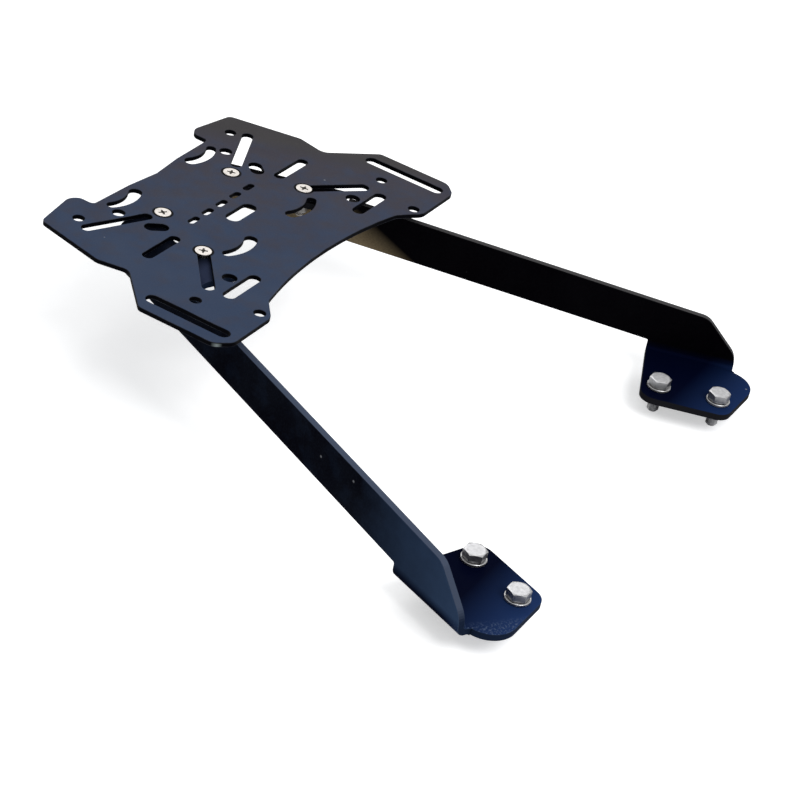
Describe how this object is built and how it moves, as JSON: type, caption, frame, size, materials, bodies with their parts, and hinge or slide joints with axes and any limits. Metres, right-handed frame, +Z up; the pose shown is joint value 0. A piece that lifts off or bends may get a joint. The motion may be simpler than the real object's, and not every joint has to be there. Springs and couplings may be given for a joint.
{
  "type": "motorcycle luggage rack",
  "caption": "Flat slotted carrier plate on folded steel arms that splay forward to bolted feet beside the seat.",
  "frame": {"origin": "on the plate's upper face, midway between the two front plate screws", "axes": "+X to the motorcycle's right, +Y forward, +Z up, square off the plate's upper face"},
  "size_m": [0.3906, 0.3951, 0.0854],
  "materials": {
    "plate_coat": "satin black powder coat, bluish under the sky",
    "arm_coat": "satin black powder coat",
    "screw_steel": "plain stainless steel",
    "washer_steel": "plain stainless steel",
    "nut_steel": "plain stainless steel",
    "bolt_steel": "plain stainless steel"
  },
  "bodies": {
    "root": {"rack_plate": "plate_coat", "right_arm": "arm_coat", "left_arm": "arm_coat", "plate_screw_front_right": "screw_steel", "plate_screw_front_left": "screw_steel", "plate_screw_rear_right": "screw_steel", "plate_screw_rear_left": "screw_steel", "plate_washer_front_right": "washer_steel", "plate_washer_front_left": "washer_steel", "plate_washer_rear_right": "washer_steel", "plate_washer_rear_left": "washer_steel", "plate_nut_front_right": "nut_steel", "plate_nut_front_left": "nut_steel", "plate_nut_rear_right": "nut_steel", "plate_nut_rear_left": "nut_steel", "foot_bolt_front_right": "bolt_steel", "foot_bolt_front_left": "bolt_steel", "foot_bolt_rear_right": "bolt_steel", "foot_bolt_rear_left": "bolt_steel", "foot_washer_front_right": "washer_steel", "foot_washer_front_left": "washer_steel", "foot_washer_rear_right": "washer_steel", "foot_washer_rear_left": "washer_steel"}
  },
  "joints": []
}
